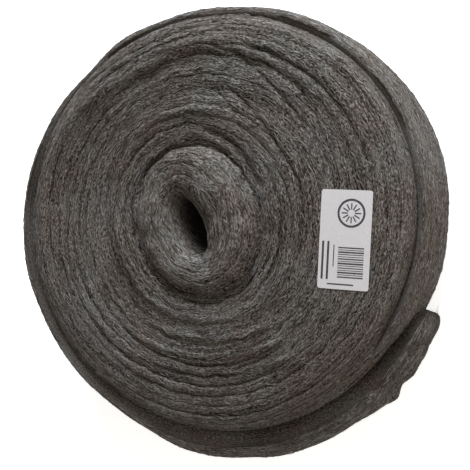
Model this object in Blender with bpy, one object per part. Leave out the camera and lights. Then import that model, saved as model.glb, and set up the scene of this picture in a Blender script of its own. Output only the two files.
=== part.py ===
# Steel wool bundle: one ribbon of steel wool wound flat on itself, lying on its back face, with a paper
# label stuck on its upper face. Metres, +Z up, origin under the middle of the roll's outline.

import math

import bmesh
import bpy

# Winding, outwards and counter-clockwise as seen from above
ribbon_width = 0.100
front_radius = 0.1628  # outer radius of the tight turns where their loosest one begins
tight_turns = 18
steps_per_turn = 36
end_angle = math.radians(338)
groove_depth = 0.0025
crest_share = 0.46  # the flat part of a turn's edge

# The squeezed hole in the middle
hole_radius = 0.008
hole_stretch = 0.012
hole_angle = math.radians(113)
hole_offset = (-0.009, 0.007)
lip_drop = 0.030

turn_thickness = (front_radius - hole_radius) / tight_turns

# The loosest inner turns, which stand up as a ring round the hole
crown_radius = 0.052
crown_rise = 0.010
crown_crease = 0.006
crease_recovery = 0.012

# A second, lower ring outside it
ring_radius = 0.0755
ring_rise = 0.0026
ring_spread = 0.006  # the distance over which it falls to about a third of its height

# A soft ridge and the hollow inside it, which run over several turns: height, spread, and the angle and
# radius at which each starts and ends
folds = (
    (0.0032, 0.0065, (math.radians(70), 0.1400), (math.radians(215), 0.1490)),
    (-0.0032, 0.0070, (math.radians(82), 0.1290), (math.radians(205), 0.1235)),
)
fold_fade = math.radians(24)

# The rounded edge of the tight turns, on both faces
shoulder_width = 0.028
shoulder_drop = 0.022
full_shoulder_angle = math.radians(110)  # where the front one is fuller, so that it drops less
full_shoulder_spread = math.radians(42)
full_shoulder_rise = 0.009

# The outermost turn, which is thick and loose
outer_thickness = 0.011
outer_drop = 0.011  # how far its edges lie inside the two faces
outer_start = math.radians(-62)
outer_fade = math.radians(38)  # the arc over which it swells out of the tight turns
outer_finish = math.radians(256)
outer_sink = math.radians(20)  # the arc over which it ends inside the loose end
outer_steps = 40
outer_overlap = 0.001
outer_grip = 0.6  # the share of its width that the turns inside it hold
emerge_depth = 0.005
emerge_drop = 0.015
wall_steps = 9
buried = 0.006  # how deep a piece of ribbon reaches into the turns that carry it
crest_lean = 0.42  # where the highest line of a loose turn lies between its inner and outer sides
side_fullness = 0.75  # below 1 fills out the outer side of a loose turn
edge_fullness = 0.8  # below 1 fills out its rounded edges
edge_tuck = 0.1  # how far down its inner side it meets the turns inside it, as a share of half its width

# The loose end of the ribbon
tail_start = math.radians(234)
tail_thickness = 0.020
tail_tip_thickness = 0.009
tail_gap = 0.005
tail_grip = 0.2
tail_inset = 0.003  # how much smaller it is than the outermost turn where it leaves that turn
tail_climb = math.radians(24)
tail_sag = 0.009
tail_loosening = 0.35  # the share of its arc over which it comes away
tail_blunt = 0.016  # length of the rounded tip
tip_thin = 0.35  # the shares of its thickness and width that are left at the very tip
tip_narrow = 0.4
tip_steps = 3
tail_steps = 26

# The outline is not quite round: (share of the radius, number of bulges, angle of the first)
outline_bulges = (
    (0.024, 1, math.radians(86)),
    (0.023, 2, math.radians(17)),
    (0.008, 3, math.radians(44)),
)

# Label
label_width = 0.039
label_height = 0.073
label_thickness = 0.00025
label_corner = 0.002
label_turn = math.radians(-3)
label_inset = 0.0443  # from the outer radius of the tight turns to the label's middle
label_aside = -0.0045
seat_gap = 0.0003


def ease(share):
    # A smooth step from 0 to 1
    share = min(max(share, 0.0), 1.0)
    return share * share * (3 - 2 * share)


def blend(first, second, share):
    return first + (second - first) * share


def plan(angle, radius):
    # A winding radius and an angle as x and y: the inner turns follow the squeezed hole, the outer ones
    # the uneven outline
    share = min(radius / front_radius, 1.0)
    swell = sum(size * math.cos(count * (angle - at)) for size, count, at in outline_bulges)
    out = radius * (1 + share * share * swell)
    slit = hole_stretch * (1 - share) * math.cos(angle - hole_angle)
    x = hole_offset[0] * (1 - share) + out * math.cos(angle) + slit * math.cos(hole_angle)
    y = hole_offset[1] * (1 - share) + out * math.sin(angle) + slit * math.sin(hole_angle)
    return x, y


def point(angle, radius, height):
    return (*plan(angle, radius), height)


def shoulder(radius):
    # How far a turn's edge has sunk at the rounded rim
    rim = front_radius + turn_thickness / 2
    share = (radius - (rim - shoulder_width)) / shoulder_width
    share = min(max(share, 0.0), 1.0)
    return shoulder_drop * (1 - math.sqrt(1 - share * share))


def crown(radius):
    # How far the loose inner turns stand above the face
    across = (radius - hole_radius) / (crown_radius - hole_radius)
    if across < 1:
        ring = crown_rise * math.sin(math.pi * across) ** 0.7
        return ring - lip_drop * (1 - across) ** 3 - crown_crease * across**5
    back = min((radius - crown_radius) / crease_recovery, 1.0)
    return -crown_crease * (1 - back) ** 2


def fold_lift(angle, radius):
    # How far the second ring, the ridge and the hollow lift a turn's edge
    lift = ring_rise * math.exp(-(((radius - ring_radius) / ring_spread) ** 2))
    turned = angle % (2 * math.pi)
    for height, spread, (start, first), (finish, last) in folds:
        ends = ease((turned - start) / fold_fade) * ease((finish - turned) / fold_fade)
        middle = blend(first, last, (turned - start) / (finish - start))
        lift += height * ends * math.exp(-(((radius - middle) / spread) ** 2))
    return lift


def front_height(angle, radius):
    away = (angle - full_shoulder_angle + math.pi) % (2 * math.pi) - math.pi
    rise = full_shoulder_rise * math.exp(-((away / full_shoulder_spread) ** 2))
    sunk = shoulder(radius) * (1 - rise / shoulder_drop)
    return ribbon_width + crown(radius) + fold_lift(angle, radius) - sunk


def back_height(_, radius):
    # The ribbon keeps its width, so the back is hollow where the front stands up
    lip = lip_drop / 3 * max(1 - (radius - hole_radius) / (2 * turn_thickness), 0.0) ** 2
    return max(crown(radius), 0.0) + lip + shoulder(radius)


def skin(mesh, row, after):
    # A strip of faces between two rows of vertices
    for k in range(len(row) - 1):
        mesh.faces.new((row[k], row[k + 1], after[k + 1], after[k]))


def new_object(name, mesh, colour, roughness, metallic):
    bmesh.ops.recalc_face_normals(mesh, faces=mesh.faces)
    data = bpy.data.meshes.new(name)
    mesh.to_mesh(data)
    mesh.free()
    data.shade_smooth()
    data.set_sharp_from_angle(angle=math.radians(40))
    piece = bpy.data.objects.new(name, data)
    bpy.context.scene.collection.objects.link(piece)
    material = bpy.data.materials.new(name)
    material.use_nodes = True
    shader = material.node_tree.nodes["Principled BSDF"]
    shader.inputs["Base Color"].default_value = (*colour, 1)
    shader.inputs["Roughness"].default_value = roughness
    shader.inputs["Metallic"].default_value = metallic
    data.materials.append(material)
    return piece


def wool_object(name, mesh):
    return new_object(name, mesh, (0.078, 0.067, 0.06), 0.62, 0.4)


def face_rows(mesh, height, inwards):
    # The edges of all turns on one face: a groove line that runs one turn further than the two crest
    # lines, because the outer groove of a turn is the inner groove of the next
    last = tight_turns * steps_per_turn
    step = 2 * math.pi / steps_per_turn

    def line(count, share, sunk):
        row = []
        for k in range(count + 1):
            angle = end_angle + k * step
            radius = hole_radius + turn_thickness * (k / steps_per_turn + share)
            row.append(mesh.verts.new(point(angle, radius, height(angle, radius) + sunk)))
        return row

    groove = line(last + steps_per_turn, 0.0, inwards * groove_depth)
    crests = [line(last, 0.5 - crest_share / 2, 0.0), line(last, 0.5 + crest_share / 2, 0.0)]
    return groove, crests


def wind_tight_turns():
    mesh = bmesh.new()
    last = tight_turns * steps_per_turn
    front, front_crests = face_rows(mesh, front_height, -1)
    back, back_crests = face_rows(mesh, back_height, 1)
    for groove, crests in ((front, front_crests), (back, back_crests)):
        skin(mesh, groove[: last + 1], crests[0])
        skin(mesh, crests[0], crests[1])
        skin(mesh, crests[1], groove[steps_per_turn:])
    skin(mesh, front[: steps_per_turn + 1], back[: steps_per_turn + 1])
    skin(mesh, front[last:], back[last:])
    for k in (0, last):  # the cut ends of the wound length
        over = [front[k], front_crests[0][k], front_crests[1][k], front[k + steps_per_turn]]
        under = [back[k], back_crests[0][k], back_crests[1][k], back[k + steps_per_turn]]
        mesh.faces.new(over + under[::-1])
    return wool_object("wool_roll", mesh)


def ribbon_section(inner, outer, low, high, grip):
    # The section of a loose turn as radius and height: its rounded edges and outer side, and a foot that
    # reaches into the turns inside it
    crest = inner + crest_lean * (outer - inner)
    middle = (low + high) / 2
    half = (high - low) / 2
    section = []
    for k in range(wall_steps + 1):
        turn = math.pi * k / wall_steps
        bulge = math.sin(turn) ** side_fullness
        rise = math.copysign(abs(math.cos(turn)) ** edge_fullness, math.cos(turn))
        section.append((crest + (outer - crest) * bulge, middle + half * rise))
    foot = front_radius - buried
    section.append((inner, low + edge_tuck * half))
    section.append((foot, middle - grip * half))
    section.append((foot, middle + grip * half))
    section.append((inner, high - edge_tuck * half))
    return section


def sweep(mesh, stations):
    # A closed skin through (angle, section) pairs, with flat ends
    rows = []
    for angle, section in stations:
        row = [mesh.verts.new(point(angle, radius, height)) for radius, height in section]
        rows.append(row + row[:1])
    for row, after in zip(rows, rows[1:]):
        skin(mesh, row, after)
    mesh.faces.new(rows[0][:-1])
    mesh.faces.new(rows[-1][:-1])


def wall_radius(angle):
    # The outer side of the tight turns, which grows by one turn's thickness on the way round
    return front_radius + turn_thickness * (angle - end_angle + 2 * math.pi) / (2 * math.pi)


def outer_grown(angle):
    # The outermost turn swells out of the tight turns and sinks away inside the loose end
    return ease((angle - outer_start) / outer_fade) * ease((outer_finish - angle) / outer_sink)


def outer_side(angle):
    grown = outer_grown(angle)
    return wall_radius(angle) - emerge_depth * (1 - grown) + outer_thickness * grown


def wind_outer_turn():
    mesh = bmesh.new()
    stations = []
    for k in range(outer_steps + 1):
        angle = outer_start + (outer_finish - outer_start) * k / outer_steps
        hidden = 1 - outer_grown(angle)
        inner = wall_radius(angle) - outer_overlap - emerge_depth * hidden
        low = outer_drop + emerge_drop * hidden
        section = ribbon_section(inner, outer_side(angle), low, ribbon_width - low, outer_grip)
        stations.append((angle, section))
    sweep(mesh, stations)
    return wool_object("outer_turn", mesh)


def wind_tail():
    # It leaves the outermost turn, sags, climbs over that turn's beginning and ends in a blunt tip
    mesh = bmesh.new()
    arc = end_angle - tail_start
    tip = tail_blunt / front_radius
    angles = [tail_start + (arc - tip) * k / tail_steps for k in range(tail_steps + 1)]
    for k in range(1, tip_steps + 1):
        angles.append(end_angle - tip * (1 - math.sin(math.pi * k / (2 * tip_steps + 1))))
    stations = []
    for angle in angles:
        loose = ease((angle - tail_start) / (arc * tail_loosening))
        climb = ease(1 - (end_angle - angle) / tail_climb)
        inner = blend(wall_radius(angle), outer_side(angle - 2 * math.pi), climb) + tail_gap * loose
        thick = blend(outer_thickness - tail_inset, tail_thickness, loose)
        thick = blend(thick, tail_tip_thickness, climb)
        blunt = max(1 - (end_angle - angle) / tip, 0.0)
        full = math.sqrt(1 - blunt * blunt)
        low = outer_drop + tail_inset - tail_sag * loose
        high = ribbon_width - outer_drop - tail_inset - tail_sag * loose
        grip = blend(outer_grip, tail_grip, loose)
        section = ribbon_section(inner, inner + thick, low, high, grip)
        middle = (low + high) / 2
        shaped = []
        for radius, height in section:
            kept = inner + (radius - inner) * blend(tip_thin, 1, full) if radius > inner else radius
            shaped.append((kept, middle + (height - middle) * blend(tip_narrow, 1, full)))
        stations.append((angle, shaped))
    sweep(mesh, stations)
    return wool_object("loose_end", mesh)


def join_to(piece, part):
    # Fuses a hidden helper with the roll, because the ribbon is one length
    part.hide_render = True
    part.display_type = "WIRE"
    union = piece.modifiers.new(part.name, "BOOLEAN")
    union.operation = "UNION"
    union.object = part


def set_on_ground(pieces, shift):
    # Puts the middle of the outline over the origin
    for piece in pieces:
        for vertex in piece.data.vertices:
            vertex.co.x -= shift[0]
            vertex.co.y -= shift[1]


def outline_middle(pieces):
    corners = [vertex.co for piece in pieces for vertex in piece.data.vertices]
    return [(min(c[i] for c in corners) + max(c[i] for c in corners)) / 2 for i in range(2)]


def make_label():
    mesh = bmesh.new()
    bmesh.ops.create_grid(mesh, x_segments=1, y_segments=1, size=0.5)
    bmesh.ops.scale(mesh, vec=(label_width, label_height, 1), verts=mesh.verts)
    bmesh.ops.bevel(
        mesh, geom=mesh.verts[:], offset=label_corner, segments=4, profile=0.5, affect="VERTICES"
    )
    lifted = bmesh.ops.extrude_face_region(mesh, geom=mesh.faces[:])["geom"]
    top = [item for item in lifted if isinstance(item, bmesh.types.BMVert)]
    bmesh.ops.translate(mesh, vec=(0, 0, label_thickness), verts=top)
    label = new_object("label", mesh, (0.62, 0.6, 0.63), 0.55, 0.0)
    label.location = (front_radius - label_inset, label_aside, ribbon_width + seat_gap)
    label.rotation_euler = (0, 0, label_turn)
    return label


def main():
    for old in list(bpy.data.objects):
        bpy.data.objects.remove(old)
    roll = wind_tight_turns()
    parts = [wind_outer_turn(), wind_tail()]
    set_on_ground([roll, *parts], outline_middle([roll, *parts]))
    for part in parts:
        join_to(roll, part)
    make_label()


main()
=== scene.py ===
# Big roll of steel wool, lying flat, with a paper label on its face
import math
import bmesh
import bpy
import numpy as np
from mathutils import Matrix, Vector


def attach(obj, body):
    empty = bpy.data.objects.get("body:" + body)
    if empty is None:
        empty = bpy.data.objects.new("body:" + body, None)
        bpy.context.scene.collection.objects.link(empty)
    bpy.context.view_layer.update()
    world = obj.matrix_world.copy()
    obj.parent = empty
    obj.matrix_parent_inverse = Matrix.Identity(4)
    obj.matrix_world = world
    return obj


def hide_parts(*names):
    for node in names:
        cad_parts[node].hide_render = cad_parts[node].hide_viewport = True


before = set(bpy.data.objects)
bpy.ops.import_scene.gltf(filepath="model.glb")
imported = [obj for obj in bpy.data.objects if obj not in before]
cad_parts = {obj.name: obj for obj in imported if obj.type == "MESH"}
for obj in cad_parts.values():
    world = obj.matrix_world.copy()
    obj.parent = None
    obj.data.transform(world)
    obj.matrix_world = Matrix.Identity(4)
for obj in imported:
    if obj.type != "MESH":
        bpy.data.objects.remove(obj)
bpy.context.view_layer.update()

rad = math.radians
mm = 0.001
fullTurn = 2 * np.pi
phaseRange = 6.2832

# How the ribbon is wound, the same as in the solid (metres, radians)
winding = {
    "width": 0.100,
    "turn": 0.0086,  # from one turn to the next
    "turns": 18,
    "holeRadius": 0.008,
    "faceRadius": 0.1628,
    "holeStretch": 0.012,
    "holeAngle": rad(113),
    "holeOffset": (-0.009, 0.007),
    "lipDrop": 0.030,
    "lipPower": 7,
    "crownRadius": 0.052,
    "crownRise": 0.010,
    "crownCrease": 0.006,
    "crownFull": 1.5,
    "crownPower": 0.5,
    "creasePower": 9,
    "creaseBack": 0.012,
    "shoulderWidth": 0.028,
    "shoulderDrop": 0.022,
    "fullAngle": rad(110),
    "fullSpread": rad(42),
    "fullRise": 0.009,
    "endAngle": rad(338),
    "bulges": ((0.024, 1, rad(86)), (0.023, 2, rad(17)), (0.008, 3, rad(44))),  # size, how many round, angle
    "shift": (-0.002546, -0.005520),
    "wave": 0.0008,
    "waveScale": 300,
    "waveSeed": 3,
    "waveFrom": (0.012, 0.02),  # radius, and how far the change takes
    "waveTo": (0.140, 0.02),
    "slitMove": (-0.0045, -0.0052),
    "slitNarrow": 0.0036,
    "slitLean": rad(120),
    "slitReach": 0.034,
}


# Small helpers
def ease(x):
    x = np.clip(x, 0.0, 1.0)
    return x * x * (3 - 2 * x)


def easeFrom(x, start, length):  # 0 up to the start, then rising to 1
    return ease((x - start) / length)


def mix(a, b, t):
    return a + (b - a) * t


def hump(x, middle, spread):  # 1 at the middle, falling away on both sides
    return np.exp(-(((x - middle) / spread) ** 2))


def drift(x, seed, octaves=2):  # smooth random wave of one value, about -1 to 1
    dice = np.random.default_rng(seed)
    total = np.zeros_like(np.asarray(x, dtype=float))
    size = 1.0
    for octave in range(octaves):
        for _ in range(4):
            total = total + size * np.sin(x * (0.6 + dice.random()) * 2**octave + dice.random() * phaseRange)
        size *= 0.5
    return total / 3.0


def patches(x, y, seed, octaves=2):  # smooth random hills of two values, about -1 to 1
    dice = np.random.default_rng(seed)
    total = np.zeros_like(np.asarray(x + y, dtype=float))
    size = 1.0
    for octave in range(octaves):
        for _ in range(6):
            turn = dice.random() * phaseRange
            pace = (0.6 + 0.8 * dice.random()) * 2**octave
            across = x * math.cos(turn) + y * math.sin(turn)
            total = total + size * np.sin(across * pace + dice.random() * phaseRange)
        size *= 0.5
    return total / 3.4


def plan(angle, radius):  # winding angle and radius to x and y
    w = winding
    share = np.minimum(radius / w["faceRadius"], 1.0)
    swell = sum(size * np.cos(count * (angle - at)) for size, count, at in w["bulges"])
    out = radius * (1 + share * share * swell)
    slit = w["holeStretch"] * (1 - share) * np.cos(angle - w["holeAngle"])
    x = w["holeOffset"][0] * (1 - share) + out * np.cos(angle) + slit * math.cos(w["holeAngle"])
    y = w["holeOffset"][1] * (1 - share) + out * np.sin(angle) + slit * math.sin(w["holeAngle"])
    hold = 1 - easeFrom(radius, w["holeRadius"], w["slitReach"])
    narrow = w["slitNarrow"] * hold * np.sin(angle - w["slitLean"])
    x = x + w["slitMove"][0] * hold + narrow * math.sin(w["slitLean"])
    y = y + w["slitMove"][1] * hold - narrow * math.cos(w["slitLean"])
    inside = easeFrom(radius, *w["waveFrom"]) * (1 - easeFrom(radius, *w["waveTo"]))
    wave = w["wave"] * inside * patches(x * w["waveScale"], y * w["waveScale"], w["waveSeed"])
    x, y = x + wave * np.cos(angle), y + wave * np.sin(angle)
    return x - w["shift"][0], y - w["shift"][1]


def shoulder(radius):  # how far the rim falls away
    w = winding
    rim = w["faceRadius"] + w["turn"] / 2
    share = np.clip((radius - (rim - w["shoulderWidth"])) / w["shoulderWidth"], 0.0, 1.0)
    return w["shoulderDrop"] * (1 - np.sqrt(1 - share * share))


def frontShoulder(angle, radius):  # it is fuller on the far left
    w = winding
    away = (angle - w["fullAngle"] + np.pi) % fullTurn - np.pi
    return shoulder(radius) * (1 - w["fullRise"] / w["shoulderDrop"] * hump(away, 0.0, w["fullSpread"]))


def crown(radius):  # the loose inner turns stand up in a ring
    w = winding
    across = np.clip((radius - w["holeRadius"]) / (w["crownRadius"] - w["holeRadius"]), 0.0, 1.0)
    ring = w["crownRise"] * np.maximum(np.sin(np.pi * across ** w["crownFull"]), 0.0) ** w["crownPower"]
    inside = ring - w["lipDrop"] * (1 - across) ** w["lipPower"] - w["crownCrease"] * across ** w["creasePower"]
    back = np.clip((radius - w["crownRadius"]) / w["creaseBack"], 0.0, 1.0)
    return np.where(across < 1, inside, -w["crownCrease"] * (1 - back) ** 2)


# Creases (negative) and soft ridges (positive) that run over several turns:
# (angle in degrees, radius in mm) along each, then its half width and height in mm
folds = [
    # upper right
    {"line": [(28, 135.6), (38, 136.7), (49, 138.7), (59, 137.7), (69, 139.6), (79, 144.2)],
     "wide": 1.7, "high": -2.4},
    {"line": [(21, 116.9), (33, 118.1), (45, 122.7), (56, 130.2)], "wide": 1.5, "high": -2.2},
    {"line": [(40, 110.9), (50, 113.4), (60, 117.8), (69, 124.4), (79, 133.7), (88, 140.5)],
     "wide": 1.5, "high": -2.4},
    {"line": [(31, 84.2), (41, 86.4), (51, 90), (60, 93.6), (69, 99.8), (78, 105.8)],
     "wide": 1.4, "high": -2.0},
    {"line": [(58, 80), (72, 90.7), (81, 100.1)], "wide": 1.3, "high": -1.4},
    {"line": [(38, 123.2), (48, 125.5), (60, 128.2), (71, 133.5)], "wide": 1.4, "high": -1.8},
    # top and left
    {"line": [(82, 143.0), (90, 141.2), (99, 138.2), (109, 135.9), (117, 136.1), (126, 138), (138, 144.5),
              (159, 148.9), (182, 149.1), (205, 148)], "wide": 6.5, "high": 2.8},
    {"line": [(92, 130), (100, 129.6), (110, 126.1), (125, 124.8), (148, 125.9), (171, 123.5), (190, 124)],
     "wide": 7.5, "high": -2.2},
    {"line": [(62, 126.5), (74, 128.7), (90, 132.6), (103, 136.7)], "wide": 3.0, "high": -2.5},
    {"line": [(78, 163), (93, 156.3), (105, 154), (114, 155), (124, 157.5), (140, 163), (150, 167.5)],
     "wide": 1.5, "high": -1.0},
    {"line": [(74, 167), (110, 166.5), (160, 167)], "wide": 5.0, "high": 2.6},
    # the rim's crest on the right, and the groove outside it
    {"line": [(-30, 165.8), (0, 165.5), (30, 165.5), (60, 166), (72, 166.5)], "wide": 2.2, "high": -4.5},
    {"line": [(-24, 158.5), (20, 158.3), (50, 158.5), (84, 159)], "wide": 3.2, "high": 1.9},
    {"line": [(75, 152), (93, 149.5), (110, 148), (124, 149), (140, 155)], "wide": 1.4, "high": -1.0},
    # round the raised ring
    {"line": [(195, 53), (220, 55.5), (232, 56), (252, 54.5), (272, 52.8), (300, 50), (318, 48.5)],
     "wide": 2.0, "high": -1.6},
    {"line": [(98, 56), (120, 56), (150, 54.5), (188, 53.5)], "wide": 3.2, "high": 3.2},
    {"line": [(22, 58), (35, 58.5), (49, 61), (66, 64), (84, 66)], "wide": 3.0, "high": -4.5},
    {"line": [(75, 83), (96, 83.4), (122, 83.5), (146, 77.6), (173, 72.3), (200, 68.2), (232, 72), (263, 69.8),
              (295, 73), (320, 77.8), (345, 80.1)], "wide": 5.0, "high": 2.6},
    # bottom
    {"line": [(240, 88.7), (259, 86.3), (279, 87.4), (298, 91.8), (315, 96.4)], "wide": 2.4, "high": 2.2},
    {"line": [(239, 104), (258, 100.6), (278, 101.2), (297, 105.7), (313, 110.9)], "wide": 2.4, "high": 2.0},
    {"line": [(238, 118.2), (257, 114.9), (277, 115), (295, 119.6), (312, 124.8)], "wide": 2.4, "high": 1.8},
]
foldEnd = {"fade": 12, "sudden": 0.3}  # degrees, and the share that is there from the start


def foldHeight(angle, radius):
    total = np.zeros_like(angle + radius)
    degrees = np.degrees(angle) % 360
    for fold in folds:
        line = fold["line"]
        start, end = line[0][0], line[-1][0]
        at = np.where(degrees > 180, degrees - 360, degrees) if start < 0 else degrees
        middle = np.interp(at, [p[0] for p in line], [p[1] * mm for p in line])
        window = ease((at - start) / foldEnd["fade"] + foldEnd["sudden"])
        window = window * ease((end - at) / foldEnd["fade"] + foldEnd["sudden"])
        total = total + window * fold["high"] * mm * hump(radius, middle, fold["wide"] * mm)
    return total


# The label's place, the same as in the solid, and how it presses the wool
label = {
    "width": 0.039,
    "height": 0.073,
    "thick": 0.00025,
    "corner": 0.002,
    "cornerSteps": 5,
    "turn": rad(-3),
    "place": (0.1185, -0.0045),
    "level": 0.1003,
    "pressMargin": 0.002,
    "pressFade": 0.006,
    "pressSharp": 40,
    "pressDepth": 0.0003,
    "free": 0.2,  # a height that the wool away from the label never reaches
}


def underLabel(x, y, z):  # the wool is pressed flat where the label sticks to it
    awayX, awayY = x - label["place"][0], y - label["place"][1]
    across = awayX * math.cos(label["turn"]) + awayY * math.sin(label["turn"])
    along = awayY * math.cos(label["turn"]) - awayX * math.sin(label["turn"])
    inX = 1 - ease((np.abs(across) - label["width"] / 2 - label["pressMargin"]) / label["pressFade"])
    inY = 1 - ease((np.abs(along) - label["height"] / 2 - label["pressMargin"]) / label["pressFade"])
    pressed = np.minimum(inX * inY * label["pressSharp"], 1.0)
    return np.minimum(z, mix(label["free"], label["level"] - label["pressDepth"], pressed))


# How uneven the turns' edges are (metres)
turnLook = {
    "steps": 300,
    "edgeRows": 9,
    "backShares": [0.98, 0.75, 0.5, 0.25, 0.02],
    "gap": 0.02,
    "crestUneven": 0.0010,
    "crestPaces": (0.9, 5.0),
    "crestFine": 0.35,
    "grooveShallow": 0.0003,
    "grooveDeep": 0.0021,
    "groovePace": 1.3,
    "grooveUpper": 0.30,  # share of the depth that is left away from the lower right
    "grooveAngle": rad(306),
    "grooveSpread": (0.4, 0.9),
    "grooveSharp": (1.5, 0.4),
    "edgePower": 3.2,
    "rolling": 0.0012,
    "rollingScale": 45,
    "ringLumps": 0.0016,
    "ringLumpScale": 130,
    "ringFrom": (0.010, 0.010),  # radius, and how far the change takes
    "ringTo": (0.040, 0.012),
    "rimFrom": (0.150, 0.012),
    "rimUneven": 0.4,
    "backGroove": 0.002,
    "backPower": 3,
    "backUneven": 0.0003,
    "lowest": 0.0002,
    "weld": 0.00002,
}
turnSeeds = {"groove": 11, "crest": 23, "crestFine": 29, "rolling": 5, "ringLumps": 9}


def grooveDepth(wound):  # how deep the crease on the inner side of a turn is
    look = turnLook
    wave = drift(wound * look["groovePace"], turnSeeds["groove"], 3) * 0.5 + 0.5
    least, more = look["grooveSpread"]
    lower = ease(least + more * np.cos(wound + winding["endAngle"] - look["grooveAngle"]))
    deepest = look["grooveDeep"] * (look["grooveUpper"] + (1 - look["grooveUpper"]) * lower)
    sharp, less = look["grooveSharp"]
    return mix(look["grooveShallow"], deepest, ease(wave * sharp - less))


def crestHeight(wound):
    slow, quick = turnLook["crestPaces"]
    fine = turnLook["crestFine"] * drift(wound * quick, turnSeeds["crestFine"])
    return turnLook["crestUneven"] * (drift(wound * slow, turnSeeds["crest"], 3) + fine)


def edgeTop(angle, radius, wound, across):
    # height of the front edge of the turn that is at this place on the ribbon
    look = turnLook
    side = np.abs(2 * across - 1)
    deep = np.where(across < 0.5, grooveDepth(wound), grooveDepth(wound + fullTurn))
    base = winding["width"] + crown(radius) - frontShoulder(angle, radius) + foldHeight(angle, radius)
    x, y = plan(angle, radius)
    broad, fine = look["rollingScale"], look["ringLumpScale"]
    rolling = look["rolling"] * patches(x * broad, y * broad, turnSeeds["rolling"])
    lumps = patches(x * fine, y * fine, turnSeeds["ringLumps"])
    onRing = (1 - easeFrom(radius, *look["ringTo"])) * easeFrom(radius, *look["ringFrom"])
    offRim = 1 - easeFrom(radius, *look["rimFrom"])
    uneven = crestHeight(wound) * (1 - side**2) + rolling + look["ringLumps"] * lumps * onRing
    height = base + uneven * mix(look["rimUneven"], 1.0, offRim) - deep * side ** look["edgePower"]
    return underLabel(x, y, height)


def woundAt(angle, radius):  # the place on the ribbon, and how far across the turn, under a point of the face
    w = winding
    past = (angle - w["endAngle"]) % fullTurn
    phase = (radius - w["holeRadius"]) / w["turn"] - past / fullTurn
    turn = np.clip(np.floor(phase), 0, w["turns"] - 1)
    return turn * fullTurn + past, np.clip(phase - turn, 0.0, 1.0)


def edgeBottom(radius):
    w = winding
    lip = w["lipDrop"] / 3 * np.maximum(1 - (radius - w["holeRadius"]) / (2 * w["turn"]), 0.0) ** 2
    return np.maximum(crown(radius), 0.0) + lip + shoulder(radius)


# Meshes made from a grid that is bent into place
def linkPiece(name, data):
    piece = bpy.data.objects.new(name, data)
    bpy.context.scene.collection.objects.link(piece)
    return piece


def bentGrid(name, columns, rows, bend):
    mesh = bmesh.new()
    bmesh.ops.create_grid(mesh, x_segments=columns, y_segments=rows, size=0.5)
    data = bpy.data.meshes.new(name)
    mesh.to_mesh(data)
    mesh.free()
    places = np.empty(len(data.vertices) * 3)
    data.vertices.foreach_get("co", places)
    places = places.reshape(-1, 3)
    u = np.round((places[:, 0] + 0.5) * columns) / columns
    v = np.round((places[:, 1] + 0.5) * rows) / rows
    bent, along = bend(u, v)
    data.vertices.foreach_set("co", np.stack(bent, 1).ravel())
    wind = data.attributes.new("wind", "FLOAT_VECTOR", "POINT")
    wind.data.foreach_set("vector", np.stack(along, 1).ravel())
    mesh = bmesh.new()
    mesh.from_mesh(data)
    bmesh.ops.remove_doubles(mesh, verts=mesh.verts, dist=turnLook["weld"])
    bmesh.ops.holes_fill(mesh, edges=[edge for edge in mesh.edges if edge.is_boundary], sides=0)
    bmesh.ops.recalc_face_normals(mesh, faces=mesh.faces)
    mesh.to_mesh(data)
    mesh.free()
    data.shade_smooth()
    return linkPiece(name, data)


# Where the wool's streaks run, along the ribbon and across it, and its painted shade down the hole: 1 in the
# open, 0 down the hole
windLook = {
    "sidePace": 0.175,
    "sideStart": 40,
    "sideAcross": 0.16,
    "insideAcross": 0.4,
    "rimWall": (0.156, 0.008),  # radius, and how far the change takes
    "holeWall": (0.012, 0.010),
    "wellRadius": (0.017, 0.010),
    "wellHeight": (0.064, 0.030),
}


# painted shade down the hole: 1 in the open, falling to 0 near the middle and low down
def paintedHoleShade(radius, z):
    return np.maximum(easeFrom(radius, *windLook["wellRadius"]), easeFrom(z, *windLook["wellHeight"]))


def lengthTo(wound):  # metres of ribbon up to a place
    return wound * (winding["holeRadius"] + winding["turn"] * wound / (2 * fullTurn))


def windOnFace(angle, radius):
    return lengthTo(woundAt(angle, radius)[0]), radius


def windOnSide(angle, way):
    look = windLook
    across = way * look["sideAcross"] + np.maximum(way - outer["outsideWay"], 0.0) * look["insideAcross"]
    return angle * look["sidePace"] + look["sideStart"], across


def downWalls(radius, z):  # keeps the streaks from stretching down the hole and the rim
    down = winding["width"] - z
    return down * (easeFrom(radius, *windLook["rimWall"]) - 1 + easeFrom(radius, *windLook["holeWall"]))


def makeTightTurns():
    w, look = winding, turnLook
    gap, last = look["gap"], look["edgeRows"] - 1
    shares = [gap] + [0.5 - (0.5 - gap) * math.cos(math.pi * k / last) for k in range(1, last)] + [1 - gap]
    backShares = look["backShares"]
    rows = len(shares) + len(backShares)
    acrossOfRow = np.array(shares + backShares + shares[:1])
    onBack = np.array([0] * len(shares) + [1] * len(backShares) + [0])

    def bend(u, v):
        row = np.round(v * rows).astype(int)
        wound = u * w["turns"] * fullTurn
        angle = w["endAngle"] + wound
        across = acrossOfRow[row]
        radius = w["holeRadius"] + w["turn"] * (wound / fullTurn + across)
        x, y = plan(angle, radius)
        top = edgeTop(angle, radius, wound, across)
        side = np.abs(2 * across - 1)
        uneven = look["backUneven"] * crestHeight(wound) / look["crestUneven"]
        under = edgeBottom(radius) + look["backGroove"] * side ** look["backPower"] - uneven
        z = np.where(onBack[row] == 1, np.maximum(under, look["lowest"]), top)
        # the third value is the painted shade down the hole
        return (x, y, z), (lengthTo(wound), radius + downWalls(radius, z), paintedHoleShade(radius, z))

    return bentGrid("tightTurns", w["turns"] * look["steps"], rows, bend)


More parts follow.
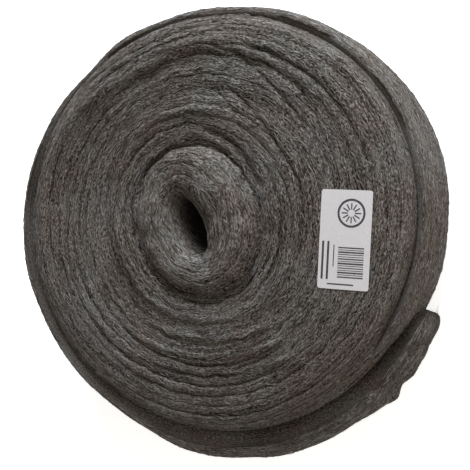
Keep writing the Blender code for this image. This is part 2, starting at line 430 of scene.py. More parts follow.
# The thick outermost turn and its loose end
outer = {
    "thick": 0.011,
    "skin": 0.001,  # how thick it is where it comes out of the roll
    "drop": 0.011,
    "start": rad(-62),
    "fade": rad(38),
    "emergeDepth": 0.005,
    "emergeDrop": 0.015,
    "tailStart": rad(234),
    "tailThick": 0.020,
    "tipThick": 0.009,
    "tailGap": 0.005,
    "tailInset": 0.003,
    "tailSag": 0.009,
    "tailLoosening": 0.35,
    "tailClimb": rad(24),
    "tailBlunt": 0.016,
    "bluntest": 0.995,
    "tipThin": 0.35,
    "tipLow": 0.4,
    "outsideWay": 0.8,  # share of the section's way that is its outside
    "wayFade": 0.02,
    "lean": 0.42,
    "bulgePower": 0.75,
    "risePower": 0.8,
    "cheek": 0.9,
    "grip": 0.6,
    "footHold": 0.35,
    "footReach": 0.006,
    "pace": 0.17,  # metres of surface for each radian
    "lumps": 0.0007,
    "tailLumps": 0.0016,
    "lumpScale": (60, 14),
    "streaks": 0.00035,
    "streakScale": 95,
    "streakBend": 1.3,
    "streakBendScale": (18, 6),
    "ragged": 0.0017,
    "raggedScale": (190, 24),
    "raggedArc": rad(30),
    "raggedFade": rad(18),
    "stepAngle": rad(124),
    "stepRise": 0.0028,
    "stepBefore": rad(8),
    "stepAfter": rad(7),
    "stepSpread": rad(8),
    "lump": 0.0022,
    "lumpAngle": rad(314.8),
    "lumpSpread": rad(1.6),
    "notch": 0.0030,
    "notchAngle": rad(318.3),
    "notchSpread": rad(2.0),
    "smoothFrom": 0.5,
    "smoothArc": rad(20),
    "pushPower": 5,
    "least": 0.001,
    "lowest": 0.0003,
    # painted shade on the inner side of the outermost turn, in the crease against the roll, varying along it
    # and darker low down
    "insideShade": 0.06,
    "insideVaries": 0.25,
    "insidePace": 5,
    "footShade": 0.6,
    "footHeight": (0.074, 0.03),  # height, and how far the change takes
    "steps": 480,
    "rows": 64,
}
outerSeeds = {"lumps": 41, "streakBend": 43, "streaks": 47, "ragged": 45, "dark": 53}


def wallRadius(angle):
    return winding["faceRadius"] + winding["turn"] * (angle - winding["endAngle"] + fullTurn) / fullTurn


def bandSize(angle):
    # inner radius, outer radius, lowest and highest edge of the outermost turn at an angle, and how loose it is
    o = outer
    end = winding["endAngle"]
    grown = easeFrom(angle, o["start"], o["fade"])
    loose = easeFrom(angle, o["tailStart"], (end - o["tailStart"]) * o["tailLoosening"])
    climb = ease(1 - (end - angle) / o["tailClimb"])
    grownBelow = easeFrom(angle - fullTurn, o["start"], o["fade"])
    below = wallRadius(angle - fullTurn) - o["emergeDepth"] * (1 - grownBelow) + o["thick"] * grownBelow
    inner = wallRadius(angle) - o["skin"] - o["emergeDepth"] * (1 - grown)
    inner = mix(inner, mix(wallRadius(angle), below, climb) + o["tailGap"], loose)
    thick = mix(o["skin"], o["thick"], grown) + o["skin"] * grown
    thick = mix(mix(thick, o["tailThick"], loose), o["tipThick"], climb)
    tip = o["tailBlunt"] / winding["faceRadius"]
    blunt = np.clip(1 - (end - angle) / tip, 0.0, o["bluntest"])
    full = np.sqrt(1 - blunt * blunt)
    inset = o["drop"] + o["emergeDrop"] * (1 - grown)
    low = mix(inset, o["drop"] + o["tailInset"] - o["tailSag"], loose)
    high = winding["width"] - mix(inset, o["drop"] + o["tailInset"] + o["tailSag"], loose)
    middle = (low + high) / 2
    half = (high - low) / 2 * mix(o["tipLow"], 1.0, full)
    return inner, inner + thick * mix(o["tipThin"], 1.0, full), middle - half, middle + half, loose


def bandPush(angle, way, loose):
    # how far the outermost turn's surface stands out or in: lumps, streaks, its step and its ragged end
    o = outer
    length = angle * o["pace"]
    lumps = patches(length * o["lumpScale"][0], way * o["lumpScale"][1], outerSeeds["lumps"])
    bent = patches(length * o["streakBendScale"][0], way * o["streakBendScale"][1], outerSeeds["streakBend"], 1)
    streaks = drift(way * o["streakScale"] + o["streakBend"] * bent, outerSeeds["streaks"])
    frayed = patches(length * o["raggedScale"][0], way * o["raggedScale"][1], outerSeeds["ragged"])
    before = hump(angle, o["stepAngle"] - o["stepBefore"], o["stepSpread"])
    after = hump(angle, o["stepAngle"] + o["stepAfter"], o["stepSpread"])
    push = (o["lumps"] + o["tailLumps"] * loose) * lumps + o["streaks"] * streaks
    push = push + o["stepRise"] * (before - after)
    push = push + o["ragged"] * easeFrom(angle, winding["endAngle"] - o["raggedArc"], o["raggedFade"]) * frayed
    push = push + o["lump"] * hump(angle, o["lumpAngle"], o["lumpSpread"])
    push = push - o["notch"] * hump(angle, o["notchAngle"], o["notchSpread"])
    emerged = easeFrom(angle, o["start"] + o["fade"] * o["smoothFrom"], o["smoothArc"])
    return push * emerged * (way < o["outsideWay"] + o["wayFade"])


def bandPoint(angle, way):
    # way runs round the section: 0 at the top of the inner side, outwards, down, and back up inside
    o = outer
    inner, out, low, high, loose = bandSize(angle)
    middle, half = (low + high) / 2, (high - low) / 2
    turn = np.pi * np.clip(way / o["outsideWay"], 0.0, 1.0)
    lean = inner + o["lean"] * (out - inner)
    bulge = np.maximum(np.sin(turn), 0.0) ** o["bulgePower"]
    rise = np.sign(np.cos(turn)) * np.abs(np.cos(turn)) ** o["risePower"]
    radius = lean + (out - lean) * bulge
    z = middle + half * rise
    grip = mix(o["grip"], o["footHold"], loose)
    foot = np.minimum(winding["faceRadius"] - o["footReach"], inner - o["skin"])
    heights = (-1.0, -o["cheek"], -grip, grip, o["cheek"], 1.0, 1.0)
    reaches = (lean, inner, foot, foot, inner, lean, lean)
    inside = np.clip((way - o["outsideWay"]) / (1 - o["outsideWay"]), 0.0, 1.0) * (len(heights) - 1)
    at = np.minimum(inside.astype(int), len(heights) - 2)
    part = inside - at
    radiusIn, zIn = np.zeros_like(inner + way), np.zeros_like(inner + way)
    for k in range(len(heights) - 1):
        radiusIn = np.where(at == k, mix(reaches[k], reaches[k + 1], part), radiusIn)
        zIn = np.where(at == k, middle + half * mix(heights[k], heights[k + 1], part), zIn)
    radius = np.where(way > o["outsideWay"], radiusIn, radius)
    z = np.where(way > o["outsideWay"], zIn, z)
    push = bandPush(angle, way, loose)
    outwards = (radius - (inner + out) / 2) / np.maximum((out - inner) / 2, o["least"])
    upwards = ((z - middle) / np.maximum(half, o["least"])) ** o["pushPower"]
    size = np.sqrt(outwards**2 + upwards**2) + 1e-6
    return radius + push * outwards / size, np.maximum(z + push * upwards / size, o["lowest"])


def makeOuterTurn():
    o = outer

    def bend(u, v):
        angle = o["start"] + u * (winding["endAngle"] - o["start"])
        way = v % 1.0
        radius, z = bandPoint(angle, way)
        x, y = plan(angle, radius)
        length, across = windOnSide(angle, way)
        # painted shade on the inner side, darker low down; the third value carries it
        inside = easeFrom(way, o["outsideWay"], o["wayFade"]) * ease((1.0 - way) / o["wayFade"])
        dark = o["insideShade"] + o["insideVaries"] * drift(angle * o["insidePace"], outerSeeds["dark"])
        dark = dark + o["footShade"] * ease((o["footHeight"][0] - z) / o["footHeight"][1])
        return (x, y, z), (length, across, 1 - inside * dark)

    return bentGrid("outerTurn", o["steps"], o["rows"], bend)


# Fibres: short kinked tufts over the whole surface, and finer, longer ones among them
fibreLook = {
    "seed": 7,
    "points": 5,
    "tufts": {"share": 0.66, "thick": (0.00020, 0.00037), "long": (0.004, 0.011),
              "spread": rad(15), "kink": rad(13)},
    "hairs": {"thick": (0.00010, 0.00018), "long": (0.007, 0.020), "spread": rad(11), "kink": rad(8)},
    "longPower": 1.4,
    "thickPower": 1.3,
    "crossing": 0.10,  # share of fibres that lie more across the others
    "crossingWider": 2.2,
    "curl": 0.5,
    "ringLoose": 1.6,
    "ringEdge": (0.044, 0.010),  # radius, and how far the change takes
    "sideLoose": 1.1,
    "rimCombed": 0.55,
    "rimEdge": (0.145, 0.012),
    "sunk": 0.0002,
    "restless": 0.00012,
    "risePower": 1.5,
    "archPower": 0.7,
    "taper": (0.45, 0.55),
    "taperEnds": (0.08, 0.92),
    "warmSpread": 0.12,
    # how far the painted light and shade moves the fibres' tone
    "pale": 0.12,
    "lowest": 0.0004,
    "backLowest": 0.0006,
}

# Painted light in the fibres' tone: paler on the raised ring, along the rim's crest, and on the top and
# the left of the outermost turn, more on the sides that face the light. Painted shade: the loose end is darker.
paintedLightLook = {
    "crest": (0.157, 0.006),  # radius and spread
    "crestSize": (2.0, 2.0),  # all round, and more on one side
    "crestAngle": rad(45),
    "top": (0.30, 0.20),  # where on the section's way it ends
    "topSize": 2,
    "topShares": (0.75, 0.45),
    "topAngle": rad(85),
    "left": (rad(205), rad(50)),
    "leftTo": (0.50, 0.20),
    "leftSize": 2.2,
    "tail": (rad(275), rad(30)),
    "tailShade": 1.5,
}


def faceSurface(angle, radius):
    wound, across = woundAt(angle, radius)
    x, y = plan(angle, radius)
    return x, y, edgeTop(angle, radius, wound, across)


def backSurface(angle, radius):
    x, y = plan(angle, radius)
    return x, y, np.maximum(edgeBottom(radius), fibreLook["backLowest"])


def sideSurface(angle, way):
    radius, z = bandPoint(angle, way)
    x, y = plan(angle, radius)
    return x, y, z


# How far a fibre lies down the hole, for the painted shade there
openLook = {"squash": 0.6, "away": (0.018, 0.008), "height": (0.080, 0.018)}


def openness(places):  # 1 in the open, 0 down the hole, for finished places
    x = places[:, 0] + winding["shift"][0] - winding["holeOffset"][0]
    y = places[:, 1] + winding["shift"][1] - winding["holeOffset"][1]
    away = np.sqrt(x * x + (y * openLook["squash"]) ** 2)
    return np.maximum(easeFrom(away, *openLook["away"]), easeFrom(places[:, 2], *openLook["height"]))


# painted light and shade for each fibre: above 0 paler, below 0 darker
def paintedLightAndShade(surface, angle, place):
    p = paintedLightLook
    if surface is sideSurface:
        lit = p["topShares"][0] + p["topShares"][1] * np.cos(angle - p["topAngle"])
        top = p["topSize"] * (1 - easeFrom(place, *p["top"])) * lit
        left = p["leftSize"] * hump(angle, *p["left"]) * (1 - easeFrom(place, *p["leftTo"]))
        return top + left - p["tailShade"] * easeFrom(angle, *p["tail"])
    crest = hump(place, *p["crest"]) * (p["crestSize"][0] + p["crestSize"][1] * np.cos(angle - p["crestAngle"]))
    # painted light on the raised ring and along the rim's crest
    return (1 - easeFrom(place, *fibreLook["ringEdge"]) + crest) * (surface is faceSurface)


def combing(surface, place):  # fibres cross less near and on the rim
    look = fibreLook
    if surface is sideSurface:
        return np.full_like(place, look["sideLoose"])
    loose = mix(look["ringLoose"], 1.0, easeFrom(place, *look["ringEdge"]))
    return mix(loose, look["rimCombed"], easeFrom(place, *look["rimEdge"]))


# Where fibres start, and how many metres a step of each surface value is, with the limits of the second value
fibreReach = {
    "face": (0.011, 0.1665),
    "faceLimits": (0.0095, 0.1668),
    "leastRadius": 0.014,
    "startFree": 0.4,  # share of the outermost turn's fade that has no fibres
    "tipFree": rad(3),
    "sidePower": 1.3,
    "sidePaces": (0.178, 0.125),
}


def startOnFace(dice, count):
    low, high = fibreReach["face"]
    radius = np.sqrt(mix(low**2, high**2, dice.random(count)))
    return dice.random(count) * fullTurn, radius


def paceOnFace(angle, radius):
    return np.maximum(radius, fibreReach["leastRadius"]), np.ones_like(radius), *fibreReach["faceLimits"]


def startOnSide(dice, count):
    share = dice.random(count)
    start = outer["start"] + outer["fade"] * fibreReach["startFree"]
    angle = mix(start, winding["endAngle"] - fibreReach["tipFree"], share)
    return angle, dice.random(count) ** fibreReach["sidePower"] * outer["outsideWay"]


def paceOnSide(angle, way):
    paceA, paceB = fibreReach["sidePaces"]
    return np.full_like(way, paceA), np.full_like(way, paceB), 0.0, outer["outsideWay"] + outer["wayFade"]


# One entry for each surface, in the order that the fibres are made in
fibreBeds = [
    {"name": "faceFibres", "parts": 3, "count": 5900, "lift": (0.0, 0.0005), "surface": faceSurface,
     "wind": windOnFace, "start": startOnFace, "pace": paceOnFace},
    {"name": "sideFibres", "parts": 2, "count": 5000, "lift": (0.0, 0.0004), "surface": sideSurface,
     "wind": windOnSide, "start": startOnSide, "pace": paceOnSide},
    {"name": "backFibres", "parts": 1, "count": 2000, "lift": (0.0003, 0.0006), "surface": backSurface,
     "wind": windOnFace, "start": startOnFace, "pace": paceOnFace},
]


def fibrePaths(bed, dice):
    # the points of each fibre as it wanders over its surface, with its thickness and where it runs
    look, surface, paceOf, count = fibreLook, bed["surface"], bed["pace"], bed["count"]
    tufts, hairs, points = look["tufts"], look["hairs"], look["points"]
    first, second = bed["start"](dice, count)
    tuft = dice.random(count) < tufts["share"]

    def pick(key, power):
        share = dice.random(count) ** power
        low = np.where(tuft, tufts[key][0], hairs[key][0])
        high = np.where(tuft, tufts[key][1], hairs[key][1])
        return mix(low, high, share)

    lengths = pick("long", look["longPower"])
    thickness = pick("thick", look["thickPower"])
    spread = np.where(tuft, tufts["spread"], hairs["spread"])
    kink = np.where(tuft, tufts["kink"], hairs["kink"])
    heading = dice.normal(0.0, 1.0, count) * spread * combing(surface, second)
    heading = np.where(dice.random(count) < look["crossing"], heading * look["crossingWider"], heading)
    curl = dice.normal(0.0, 1.0, count) * spread * look["curl"]
    a = np.empty((count, points))
    b = np.empty((count, points))
    a[:, 0], b[:, 0] = first, second
    step = lengths / (points - 1)
    for k in range(1, points):
        turn = heading + curl * (k / (points - 1) - 0.5) + dice.normal(0.0, 1.0, count) * kink
        paceA, paceB, lowB, highB = paceOf(a[:, k - 1], b[:, k - 1])
        a[:, k] = a[:, k - 1] + np.cos(turn) * step / paceA
        b[:, k] = np.clip(b[:, k - 1] + np.sin(turn) * step / paceB, lowB, highB)

    places = np.stack(surface(a, b), 2)
    tiny = 0.0006
    paceA, paceB, lowB, highB = paceOf(a, b)
    along = np.stack(surface(a + tiny / paceA, b), 2) - places
    over = np.stack(surface(a, np.clip(b + tiny / paceB, lowB, highB)), 2)
    over = over - np.stack(surface(a, np.clip(b - tiny / paceB, lowB, highB)), 2)
    normal = np.cross(along, over) if surface is backSurface else np.cross(over, along)
    normal /= np.linalg.norm(normal, axis=2, keepdims=True) + 1e-12
    share = np.linspace(0, 1, points)[None, :]
    rise = mix(bed["lift"][0], bed["lift"][1], dice.random(count) ** look["risePower"])[:, None]
    restless = dice.normal(0, look["restless"], (count, points))
    height = -look["sunk"] + rise * np.sin(np.pi * share) ** look["archPower"] + restless
    path = places + normal * height[:, :, None]
    if surface is faceSurface:
        path[:, :, 2] = underLabel(path[:, :, 0], path[:, :, 1], path[:, :, 2])
    path[:, :, 2] = np.maximum(path[:, :, 2], look["lowest"])
    return path, thickness, a, b


def fibreTubes(name, path, thickness, section):  # one mesh of three-sided tubes along the paths
    count, points = path.shape[:2]
    curve = bpy.data.curves.new(name, "CURVE")
    curve.dimensions = "3D"
    curve.bevel_mode = "OBJECT"
    curve.bevel_object = section
    curve.use_fill_caps = True
    least, more = fibreLook["taper"]
    taper = least + more * np.sin(np.pi * np.linspace(*fibreLook["taperEnds"], points))
    flat = np.concatenate([path, np.ones((count, points, 1))], 2)
    for k in range(count):
        spline = curve.splines.new("POLY")
        spline.points.add(points - 1)
        spline.points.foreach_set("co", flat[k].ravel())
        spline.points.foreach_set("radius", taper * thickness[k])
    holder = linkPiece(name + "Curve", curve)
    bpy.context.view_layer.update()
    data = bpy.data.meshes.new_from_object(holder.evaluated_get(bpy.context.evaluated_depsgraph_get()))
    bpy.data.objects.remove(holder)
    data.name = name
    mesh = bmesh.new()
    mesh.from_mesh(data)
    bmesh.ops.recalc_face_normals(mesh, faces=mesh.faces)
    mesh.to_mesh(data)
    mesh.free()
    data.shade_smooth()
    return data


def layFibres(name, bed, section, dice):
    path, thickness, a, b = fibrePaths(bed, dice)
    count, points = path.shape[:2]
    data = fibreTubes(name, path, thickness, section)
    # the fibre's tone: at random, plus painted light and shade
    shade = dice.random(count) + fibreLook["pale"] * paintedLightAndShade(bed["surface"], a[:, 0], b[:, 0])
    warm = dice.normal(0, fibreLook["warmSpread"], count)
    length, across = bed["wind"](a[:, points // 2], b[:, points // 2])
    # the painted shade down the hole
    isOpen = openness(path[:, points // 2, :])
    for key, values in (("tone", (shade, warm, isOpen)), ("wind", (length, across, isOpen))):
        each = np.repeat(np.stack(values, 1), len(data.vertices) // count, axis=0)
        data.attributes.new(key, "FLOAT_VECTOR", "POINT").data.foreach_set("vector", each.ravel())
    print(name, "made:", count, "fibres")
    return linkPiece(name, data)


def makeFibreSection():  # three-cornered section of a fibre, at a radius of one metre, which each point scales
    curve = bpy.data.curves.new("fibreSection", "CURVE")
    curve.dimensions = "2D"
    spline = curve.splines.new("POLY")
    spline.points.add(2)
    for k in range(3):
        spline.points[k].co = (math.cos(2 * math.pi * k / 3), math.sin(2 * math.pi * k / 3), 0, 1)
    spline.use_cyclic_u = True
    return linkPiece("fibreSection", curve)


# Materials
woolColours = {
    "dark": (0.012, 0.009, 0.006),
    "brown": (0.110, 0.089, 0.077),
    "grey": (0.113, 0.103, 0.095),
    "light": (0.285, 0.271, 0.256),
    # painted shade: the colour deep down the hole
    "holeShade": (0.0015, 0.0015, 0.0012),
}


def newMaterial(name):
    material = bpy.data.materials.new(name)
    material.use_nodes = True
    return material, material.node_tree.nodes, material.node_tree.links


def setSockets(node, values):
    for key, value in values.items():
        node.inputs[key].default_value = value


def addNode(nodes, kind, values=None, **settings):
    node = nodes.new(kind)
    for key, value in settings.items():
        setattr(node, key, value)
    setSockets(node, values or {})
    return node


def ramp(nodes, stops):
    node = nodes.new("ShaderNodeValToRGB")
    while len(node.color_ramp.elements) < len(stops):
        node.color_ramp.elements.new(0.5)
    for element, (place, colour) in zip(node.color_ramp.elements, stops):
        element.position = place
        element.color = (*colour, 1)
    return node


def maths(nodes, links, operation, first, second):
    node = nodes.new("ShaderNodeMath")
    node.operation = operation
    for socket, value in zip(node.inputs, (first, second)):
        if isinstance(value, (int, float)):
            socket.default_value = value
        else:
            links.new(value, socket)
    return node.outputs["Value"]


def rangeFrom(nodes, links, value, start, end, low=0.0, high=1.0):
    values = {"From Min": start, "From Max": end, "To Min": low, "To Max": high}
    node = addNode(nodes, "ShaderNodeMapRange", values)
    links.new(value, node.inputs["Value"])
    return node.outputs["Result"]


def stretchedNoise(nodes, links, place, scale, distortion):
    stretch = addNode(nodes, "ShaderNodeMapping", {"Scale": scale})
    links.new(place, stretch.inputs["Vector"])
    values = {"Scale": 1.0, "Detail": 3, "Roughness": 0.6, "Distortion": distortion}
    noise = addNode(nodes, "ShaderNodeTexNoise", values)
    links.new(stretch.outputs["Vector"], noise.inputs["Vector"])
    return noise.outputs["Fac"]


# Painted shade: the dark lines along the winding where the wool's layers part
layerLook = {
    "scale": (15, 330, 0),
    "distortion": 0.5,
    "from": 0.38,
    "to": 0.48,
    "matLineShade": 0.115,
    "fibreLineShade": 0.38,
    "weaker": 0.55,  # on the outermost turn and the loose ring
    "outerFrom": 35,
    "ringTo": 0.047,
}

# The matted wool under the fibres
matLook = {
    "streakScale": (430, 980, 0),
    "distortion": 0.3,
    # painted light on the raised ring (and on the top of the outermost turn's side, which the same range
    # reaches), a painted highlight along the rim's crest, and painted shade at the loose end
    "ring": (0.054, 0.044),
    "ringPaintedLight": 0.025,
    "crest": (0.149, 0.157),
    "crestHighlight": 0.035,
    "tail": (40.84, 40.93),
    "tailShade": 0.035,
    "grey": (0.34, 0.51, 0.72),  # where dark, grey and light lie
    "brown": (0.34, 0.52, 0.74),
    "rough": (0.75, 0.5),
    "surface": {"Metallic": 0.1, "Specular IOR Level": 0.0},
    "bump": (0.8, 0.0012),  # strength, and metres
}

# The fibres, with where dark, grey and light lie
fibreTones = {
    "grey": (0.0, 0.55, 1.0),
    "brown": (0.0, 0.6, 1.0),
    "ownWarmth": 0.25,
    "surface": {"Metallic": 0.3, "Roughness": 0.5, "Specular IOR Level": 0.3},
}
warmLook = {"scale": 26, "from": 0.42, "to": 0.56}


def layerLines(nodes, links, wind):  # 1 in the dark lines, 0 elsewhere
    lines = stretchedNoise(nodes, links, wind, layerLook["scale"], layerLook["distortion"])
    fall = rangeFrom(nodes, links, lines, layerLook["from"], layerLook["to"], 1.0, 0.0)
    along = nodes.new("ShaderNodeSeparateXYZ")
    links.new(wind, along.inputs["Vector"])
    onOuter = maths(nodes, links, "GREATER_THAN", along.outputs["X"], layerLook["outerFrom"])
    onRing = maths(nodes, links, "LESS_THAN", along.outputs["Y"], layerLook["ringTo"])
    weaker = maths(nodes, links, "MAXIMUM", onOuter, onRing)
    weaker = maths(nodes, links, "MULTIPLY", weaker, layerLook["weaker"])
    return maths(nodes, links, "MULTIPLY", fall, maths(nodes, links, "SUBTRACT", 1.0, weaker))


def warmPatches(nodes, links, extra):  # 0 where the wool is grey, 1 where it is brownish
    where = nodes.new("ShaderNodeTexCoord")
    broad = addNode(nodes, "ShaderNodeTexNoise", {"Scale": warmLook["scale"], "Detail": 3})
    links.new(where.outputs["Object"], broad.inputs["Vector"])
    warm = maths(nodes, links, "ADD", broad.outputs["Fac"], extra)
    return rangeFrom(nodes, links, warm, warmLook["from"], warmLook["to"])


def colourWool(nodes, links, level, stops, extraWarmth, isOpen):
    # grey and brown wool by how pale it is, with painted shade that makes it nearly black down the hole
    c = woolColours
    blend = addNode(nodes, "ShaderNodeMix", data_type="RGBA")
    for tint, socket in (("grey", "A"), ("brown", "B")):
        tones = ramp(nodes, list(zip(stops[tint], (c["dark"], c[tint], c["light"]))))
        links.new(level, tones.inputs["Fac"])
        links.new(tones.outputs["Color"], blend.inputs[socket])
    links.new(warmPatches(nodes, links, extraWarmth), blend.inputs["Factor"])
    # painted shade down the hole
    holeShade = addNode(nodes, "ShaderNodeMix", {"A": (*c["holeShade"], 1)}, data_type="RGBA")
    links.new(isOpen, holeShade.inputs["Factor"])
    links.new(blend.outputs["Result"], holeShade.inputs["B"])
    links.new(holeShade.outputs["Result"], nodes["Principled BSDF"].inputs["Base Color"])


def addBump(nodes, links, height, strength, distance):
    bump = addNode(nodes, "ShaderNodeBump", {"Strength": strength, "Distance": distance})
    links.new(height, bump.inputs["Height"])
    links.new(bump.outputs["Normal"], nodes["Principled BSDF"].inputs["Normal"])


def makeMatMaterial():
    look = matLook
    material, nodes, links = newMaterial("mattedWool")
    shader = nodes["Principled BSDF"]
    setSockets(shader, look["surface"])
    wind = addNode(nodes, "ShaderNodeAttribute", attribute_name="wind").outputs["Vector"]
    parts = nodes.new("ShaderNodeSeparateXYZ")
    links.new(wind, parts.inputs["Vector"])
    streaks = stretchedNoise(nodes, links, wind, look["streakScale"], look["distortion"])
    # painted light on the ring, a painted highlight on the crest, painted shade at the loose end
    ring = rangeFrom(nodes, links, parts.outputs["Y"], *look["ring"], high=look["ringPaintedLight"])
    crest = rangeFrom(nodes, links, parts.outputs["Y"], *look["crest"], high=look["crestHighlight"])
    tail = rangeFrom(nodes, links, parts.outputs["X"], *look["tail"], high=look["tailShade"])
    # painted shade in the layer lines
    lines = maths(nodes, links, "MULTIPLY", layerLines(nodes, links, wind), layerLook["matLineShade"])
    level = maths(nodes, links, "ADD", maths(nodes, links, "ADD", streaks, ring), crest)
    level = maths(nodes, links, "SUBTRACT", maths(nodes, links, "SUBTRACT", level, lines), tail)
    colourWool(nodes, links, level, look, 0.0, parts.outputs["Z"])
    links.new(rangeFrom(nodes, links, streaks, 0.0, 1.0, *look["rough"]), shader.inputs["Roughness"])
    addBump(nodes, links, level, *look["bump"])
    return material


def makeFibreMaterial():
    material, nodes, links = newMaterial("looseFibres")
    setSockets(nodes["Principled BSDF"], fibreTones["surface"])
    tone = addNode(nodes, "ShaderNodeAttribute", attribute_name="tone")
    wind = addNode(nodes, "ShaderNodeAttribute", attribute_name="wind")
    parts = nodes.new("ShaderNodeSeparateXYZ")
    links.new(tone.outputs["Vector"], parts.inputs["Vector"])
    # painted shade in the layer lines
    lines = layerLines(nodes, links, wind.outputs["Vector"])
    lines = maths(nodes, links, "MULTIPLY", lines, layerLook["fibreLineShade"])
    level = maths(nodes, links, "SUBTRACT", parts.outputs["X"], lines)
    warmth = maths(nodes, links, "MULTIPLY", parts.outputs["Y"], fibreTones["ownWarmth"])
    colourWool(nodes, links, level, fibreTones, warmth, parts.outputs["Z"])
    return material


# Paper and ink: the scale of their grain, and the two colours it runs between
paperLook = {"scale": 900, "detail": 3, "rough": 0.6, "bump": (0.15, 0.0002),
             "tints": [(0.3, (0.496, 0.470, 0.476)), (0.7, (0.556, 0.525, 0.537))]}
inkLook = {"scale": 700, "detail": 2, "rough": 0.55,
           "tints": [(0.3, (0.02, 0.019, 0.022)), (0.75, (0.06, 0.055, 0.065))]}


def makeGrainMaterial(name, look):
    material, nodes, links = newMaterial(name)
    shader = nodes["Principled BSDF"]
    setSockets(shader, {"Roughness": look["rough"]})
    where = nodes.new("ShaderNodeTexCoord")
    grain = addNode(nodes, "ShaderNodeTexNoise", {"Scale": look["scale"], "Detail": look["detail"]})
    links.new(where.outputs["Object"], grain.inputs["Vector"])
    tint = ramp(nodes, look["tints"])
    links.new(grain.outputs["Fac"], tint.inputs["Fac"])
    links.new(tint.outputs["Color"], shader.inputs["Base Color"])
    return material, grain.outputs["Fac"]


def makePaperMaterial():
    material, grain = makeGrainMaterial("paperWhite", paperLook)
    addBump(material.node_tree.nodes, material.node_tree.links, grain, *paperLook["bump"])
    return material


# The label
def placeLabel(mesh, level):
    turn = label["turn"]
    for vertex in mesh.verts:
        x, y = vertex.co.x, vertex.co.y
        vertex.co.x = label["place"][0] + x * math.cos(turn) - y * math.sin(turn)
        vertex.co.y = label["place"][1] + x * math.sin(turn) + y * math.cos(turn)
        vertex.co.z += level


def finishMesh(name, mesh):
    bmesh.ops.recalc_face_normals(mesh, faces=mesh.faces)
    data = bpy.data.meshes.new(name)
    mesh.to_mesh(data)
    mesh.free()
    return linkPiece(name, data)


def thicken(mesh, faces, thick):  # gives flat faces a thickness, and says which corners were lifted
    lifted = bmesh.ops.extrude_face_region(mesh, geom=faces)["geom"]
    corners = [v for v in lifted if isinstance(v, bmesh.types.BMVert)]
    bmesh.ops.translate(mesh, vec=(0, 0, thick), verts=corners)
    return corners


def makePaper():
    mesh = bmesh.new()
    bmesh.ops.create_grid(mesh, x_segments=1, y_segments=1, size=0.5)
    bmesh.ops.scale(mesh, vec=(label["width"], label["height"], 1), verts=mesh.verts)
    bmesh.ops.bevel(
        mesh, geom=mesh.verts[:], offset=label["corner"], segments=label["cornerSteps"], profile=0.5,
        affect="VERTICES", material=-1)
    thicken(mesh, mesh.faces[:], label["thick"])
    placeLabel(mesh, label["level"])
    return finishMesh("paperLabel", mesh)


# Plain printing on the label: bars, rules, and one round mark (lift and thickness in metres, the rest in mm
# from the label's middle)
printing = {
    "lift": 0.00003,
    "thick": 0.00005,
    "barPlace": (5.1, -27.4),
    "barStep": 1.66,
    "barLength": 19.5,
    "bars": (0.9, 0.5, 1.1, 0.5, 0.7, 0.5, 1.2, 0.5, 0.9, 0.5, 0.6, 1.1, 0.5, 0.9),
    "rules": [(-16.4, -15.5, 1.6, 28.0), (-12.4, -15.5, 1.6, 28.0), (-8.0, -12.0, 0.7, 16.0),
              (-2.0, -32.8, 20.0, 1.0)],
    "ringPlace": (4.0, 19.6),
    "ringSize": (10.6, 9.0),
    "ringSteps": 48,
    "ticks": 12,
    "tickPlace": 5.0,
    "tickSize": (4.6, 0.9),
}


def makePrinting():
    p = printing
    mesh = bmesh.new()

    def plate(x, y, wide, tall):
        made = bmesh.ops.create_cube(mesh, size=1)["verts"]
        bmesh.ops.scale(mesh, vec=(wide * mm, tall * mm, p["thick"]), verts=made)
        bmesh.ops.translate(mesh, vec=(x * mm, y * mm, p["thick"] / 2), verts=made)
        return made

    for k, tall in enumerate(p["bars"]):
        plate(p["barPlace"][0], p["barPlace"][1] + p["barStep"] * k, p["barLength"], tall)
    for x, y, wide, tall in p["rules"]:
        plate(x, y, wide, tall)
    toRing = (p["ringPlace"][0] * mm, p["ringPlace"][1] * mm, 0)
    ringCorners = []
    for radius in p["ringSize"]:
        circle = bmesh.ops.create_circle(mesh, segments=p["ringSteps"], radius=radius * mm, cap_ends=False)
        ringCorners += circle["verts"]
    ring = bmesh.ops.bridge_loops(mesh, edges=[edge for edge in mesh.edges if edge.is_wire])["faces"]
    ringCorners += thicken(mesh, ring, p["thick"])
    bmesh.ops.translate(mesh, vec=toRing, verts=ringCorners)
    for k in range(p["ticks"]):
        made = plate(p["tickPlace"], 0, *p["tickSize"])
        turn = Matrix.Rotation(2 * math.pi * k / p["ticks"], 3, "Z")
        bmesh.ops.rotate(mesh, cent=(0, 0, 0), matrix=turn, verts=made)
        bmesh.ops.translate(mesh, vec=toRing, verts=made)
    placeLabel(mesh, label["level"] + label["thick"] + p["lift"])
    return finishMesh("labelPrinting", mesh)


# Build
pieces = [makeTightTurns()]
print("tight turns made")
pieces.append(makeOuterTurn())
print("outer turn made")

fibreSection = makeFibreSection()
dice = np.random.default_rng(fibreLook["seed"])
for bed in fibreBeds:
    for part in range(bed["parts"]):
        name = bed["name"] + (str(part + 1) if bed["parts"] > 1 else "")
        pieces.append(layFibres(name, bed, fibreSection, dice))
bpy.data.objects.remove(fibreSection)

matted, fibres = makeMatMaterial(), makeFibreMaterial()
for piece in pieces:
    piece.data.materials.clear()
    piece.data.materials.append(fibres if "Fibres" in piece.name else matted)
    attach(piece, "root")
    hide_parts("wool_roll")
print("wool coloured")

paper, marks = makePaper(), makePrinting()
paper.data.materials.append(makePaperMaterial())
marks.data.materials.append(makeGrainMaterial("blackInk", inkLook)[0])
for piece in (paper, marks):
    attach(piece, "root")
    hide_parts("label")
print("label made")

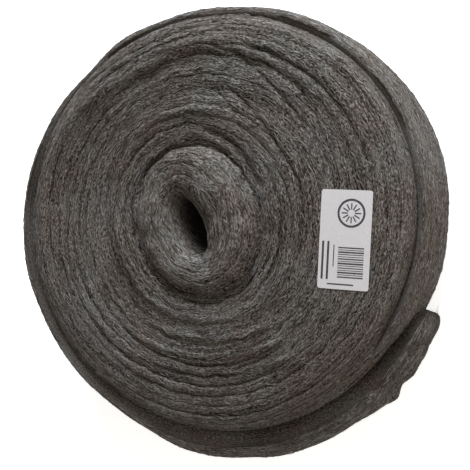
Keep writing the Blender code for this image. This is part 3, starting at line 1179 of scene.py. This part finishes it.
# Studio
studio = {
    "floorSize": 40.0,
    "floorColour": (0.9, 0.9, 0.9),
    "floorRough": 0.9,
    "floorGlow": 0.68,  # only as seen, so that it lights nothing
    "world": (0.90, 0.84, 0.77),
    "worldStrength": 0.46,
    "lampsFace": (0, 0, 0.05),
    "key": {"place": (0.05, 1.32, 0.66), "size": 0.8, "power": 38, "colour": (0.84, 0.93, 1.0)},
    "fill": {"place": (1.15, 0.10, 0.75), "size": 0.9, "power": 4.6, "colour": (1.0, 0.95, 0.88)},
}


def makeFloor():
    mesh = bmesh.new()
    bmesh.ops.create_grid(mesh, x_segments=1, y_segments=1, size=studio["floorSize"])
    floor = finishMesh("floor", mesh)
    material, nodes, links = newMaterial("paleFloor")
    shader = nodes["Principled BSDF"]
    setSockets(shader, {"Base Color": (*studio["floorColour"], 1), "Roughness": studio["floorRough"]})
    setSockets(shader, {"Emission Color": (1, 1, 1, 1)})
    light = nodes.new("ShaderNodeLightPath")
    seen = maths(nodes, links, "MAXIMUM", light.outputs["Is Camera Ray"], light.outputs["Is Glossy Ray"])
    seen = maths(nodes, links, "MAXIMUM", seen, light.outputs["Is Transmission Ray"])
    links.new(maths(nodes, links, "MULTIPLY", seen, studio["floorGlow"]), shader.inputs["Emission Strength"])
    floor.data.materials.append(material)


def makeLight(name, place, size, power, colour):
    lamp = bpy.data.lights.new(name, "AREA")
    lamp.size = size
    lamp.energy = power
    lamp.color = colour
    holder = linkPiece(name, lamp)
    holder.location = place
    holder.rotation_euler = (Vector(studio["lampsFace"]) - Vector(place)).to_track_quat("-Z", "Y").to_euler()


makeFloor()
makeLight("keyLight", **studio["key"])
makeLight("fillLight", **studio["fill"])

world = bpy.data.worlds.new("studioWorld")
world.use_nodes = True
background = world.node_tree.nodes["Background"]
setSockets(background, {"Color": (*studio["world"], 1), "Strength": studio["worldStrength"]})
bpy.context.scene.world = world
bpy.context.scene.view_settings.view_transform = "Standard"
print("studio made")

# Camera at the photo's angle
view = {
    "tilt": rad(24),
    "target": (0.01271, -0.00101, 0.060),
    "distance": 0.770,
    "angle": rad(27.92),
    "nearest": 0.02,
}
camera = linkPiece("camera", bpy.data.cameras.new("camera"))
camera.data.sensor_fit = "HORIZONTAL"
camera.data.angle = view["angle"]
camera.data.clip_start = view["nearest"]
lookingFrom = Vector((math.sin(view["tilt"]), 0, math.cos(view["tilt"])))
camera.location = Vector(view["target"]) + view["distance"] * lookingFrom
camera.rotation_euler = (0, view["tilt"], 0)
bpy.context.scene.camera = camera
print("camera placed")
